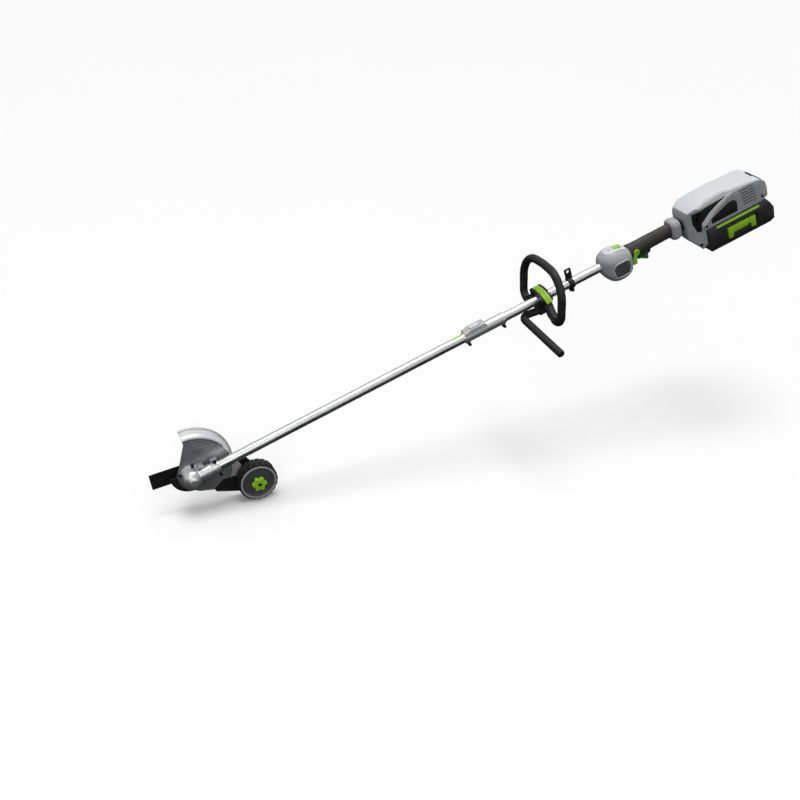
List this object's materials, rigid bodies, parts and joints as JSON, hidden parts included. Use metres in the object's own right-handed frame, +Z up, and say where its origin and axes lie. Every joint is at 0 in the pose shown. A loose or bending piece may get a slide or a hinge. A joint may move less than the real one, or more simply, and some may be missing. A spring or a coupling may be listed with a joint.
{
  "type": "lawn edger",
  "caption": "Battery pole edger: vertical steel blade under a half guard, ground wheel with depth knob, two-piece boom with coupler, loop handle, barrier bar and rear motor housing.",
  "frame": {"origin": "point on the ground under the wheel axle, in the boom's vertical plane", "axes": "+X rearwards along the ground to the operator, +Y to the operator's right (the blade side), +Z up"},
  "size_m": [1.8249, 0.2978, 0.6897],
  "materials": {
    "bright_aluminium": "bright anodised tube",
    "cast_aluminium": "shot-blasted casting",
    "guard_grey": "silver-grey powder coat",
    "black_steel": "black painted steel",
    "zinc_steel": "ground steel",
    "black_plastic": "fine-textured black nylon",
    "dark_grey_plastic": "textured dark-grey nylon",
    "housing_grey": "textured grey moulding",
    "housing_silver": "satin silver moulding",
    "lime_plastic": "lime green moulding",
    "green_plastic": "dark green moulding",
    "grip_rubber": "soft black rubber",
    "grip_grey_rubber": "soft dark-grey rubber",
    "tyre_rubber": "black wheel rubber",
    "rim_plastic": "dark-grey moulding",
    "rim_trim": "light-grey moulding",
    "bronze": "sintered bronze",
    "circuit_board": "green laminate",
    "cell_wrap": "shrink sleeve"
  },
  "bodies": {
    "power_head": {"upper_tube": "bright_aluminium", "upper_shaft_bushes": "bronze", "coupler_body": "cast_aluminium", "loop_handle_frame": "black_plastic", "loop_grip_sleeve": "grip_rubber", "handle_clamp_saddle": "black_plastic", "barrier_bar": "grip_rubber", "hanger_clamp": "black_steel", "front_housing_left": "housing_grey", "front_housing_right": "housing_grey", "display_panel": "housing_silver", "rear_grip_left": "grip_grey_rubber", "rear_grip_right": "grip_grey_rubber", "pivot_pins": "zinc_steel", "grip_collar": "housing_grey", "rear_top_cover": "housing_silver", "rear_housing_left": "housing_grey", "rear_housing_right": "housing_grey", "vent_grilles": "black_plastic", "badge_plates": "black_plastic", "motor_stator": "zinc_steel", "controller_board": "circuit_board", "terminal_block": "dark_grey_plastic", "switch_module": "dark_grey_plastic", "power_head_screws": "black_steel"},
    "attachment": {"lower_tube": "bright_aluminium", "insertion_mark": "lime_plastic", "lower_shaft_bushes": "bronze", "gear_case": "cast_aluminium", "gear_case_bearings": "zinc_steel", "blade_guard": "guard_grey", "wheel_bracket": "black_steel", "debris_flap": "grip_rubber", "attachment_screws": "black_steel"},
    "blade_set": {"output_shaft": "zinc_steel", "bevel_gear": "zinc_steel", "blade_flanges": "zinc_steel", "guide_disc": "black_steel", "blade": "black_steel", "blade_nut": "zinc_steel"},
    "lower_drive": {"lower_drive_shaft": "zinc_steel", "bevel_pinion": "zinc_steel"},
    "upper_drive": {"upper_drive_shaft": "zinc_steel", "motor_rotor": "zinc_steel", "cooling_fan": "dark_grey_plastic"},
    "axle": {"axle_stud": "zinc_steel"},
    "wheel": {"wheel_rim": "rim_plastic", "wheel_trim_ring": "rim_trim", "wheel_tyre": "tyre_rubber"},
    "knob": {"wheel_knob": "lime_plastic"},
    "coupler_button": {"coupler_release_button": "housing_silver"},
    "clamp_lever": {"handle_clamp_lever": "lime_plastic"},
    "speed_switch": {"speed_button": "lime_plastic"},
    "trigger": {"trigger": "green_plastic"},
    "lock_off": {"lock_off_lever": "lime_plastic"},
    "battery": {"battery_case": "dark_grey_plastic", "battery_trim_strips": "lime_plastic", "battery_grab_bar": "lime_plastic", "battery_cells": "cell_wrap"},
    "battery_latch": {"battery_release_button": "black_plastic"}
  },
  "joints": [
    {"name": "attachment_slide", "type": "slide", "parent": "power_head", "child": "attachment", "axis": [-0.95, 0, -0.3123], "range_m": [0, 0.12]},
    {"name": "blade_spin", "type": "hinge", "parent": "attachment", "child": "blade_set", "pos_m": [-0.168, 0, 0.1], "axis": [0, 1, 0], "continuous": true},
    {"name": "lower_shaft_spin", "type": "hinge", "parent": "attachment", "child": "lower_drive", "pos_m": [-0.168, 0, 0.1], "axis": [0.95, 0, 0.3123], "continuous": true},
    {"name": "upper_shaft_spin", "type": "hinge", "parent": "power_head", "child": "upper_drive", "pos_m": [-0.168, 0, 0.1], "axis": [0.95, 0, 0.3123], "continuous": true},
    {"name": "depth_slide", "type": "slide", "parent": "attachment", "child": "axle", "axis": [0, 0, 1], "range_m": [0, 0.028]},
    {"name": "wheel_spin", "type": "hinge", "parent": "axle", "child": "wheel", "pos_m": [0, 0, 0.053], "axis": [0, 1, 0], "continuous": true},
    {"name": "knob_turn", "type": "hinge", "parent": "axle", "child": "knob", "pos_m": [0, 0, 0.053], "axis": [0, 1, 0], "range_deg": [0, 360]},
    {"name": "coupler_button_press", "type": "slide", "parent": "power_head", "child": "coupler_button", "axis": [0.3123, 0, -0.95], "range_m": [0, 0.003], "stiffness_N_per_m": 900, "springref_m": -0.004},
    {"name": "clamp_lever_open", "type": "hinge", "parent": "power_head", "child": "clamp_lever", "pos_m": [0.82385, 0.03, 0.44505], "axis": [-0.95, 0, -0.3123], "range_deg": [0, 95]},
    {"name": "speed_button_press", "type": "slide", "parent": "power_head", "child": "speed_switch", "axis": [0.3123, 0, -0.95], "range_m": [0, 0.0015], "stiffness_N_per_m": 900, "springref_m": -0.002},
    {"name": "trigger_pull", "type": "hinge", "parent": "power_head", "child": "trigger", "pos_m": [1.12343, 0, 0.51039], "axis": [0, -1, 0], "range_deg": [0, 9], "stiffness_Nm_per_rad": 0.25, "springref_deg": -28.65},
    {"name": "lock_off_press", "type": "hinge", "parent": "power_head", "child": "lock_off", "pos_m": [1.10798, 0, 0.52215], "axis": [0, -1, 0], "range_deg": [0, 12], "stiffness_Nm_per_rad": 0.2, "springref_deg": -28.65},
    {"name": "battery_slide", "type": "slide", "parent": "power_head", "child": "battery", "axis": [0.95, 0, 0.3123], "range_m": [0, 0.24]},
    {"name": "battery_latch_press", "type": "slide", "parent": "power_head", "child": "battery_latch", "axis": [-0.95, 0, -0.3123], "range_m": [0, 0.003], "stiffness_N_per_m": 900, "springref_m": -0.004}
  ],
  "couplings": [
    {"joint": "lower_shaft_spin", "follows": "blade_spin", "ratio": -1.5},
    {"joint": "upper_shaft_spin", "follows": "blade_spin", "ratio": -1.5}
  ]
}
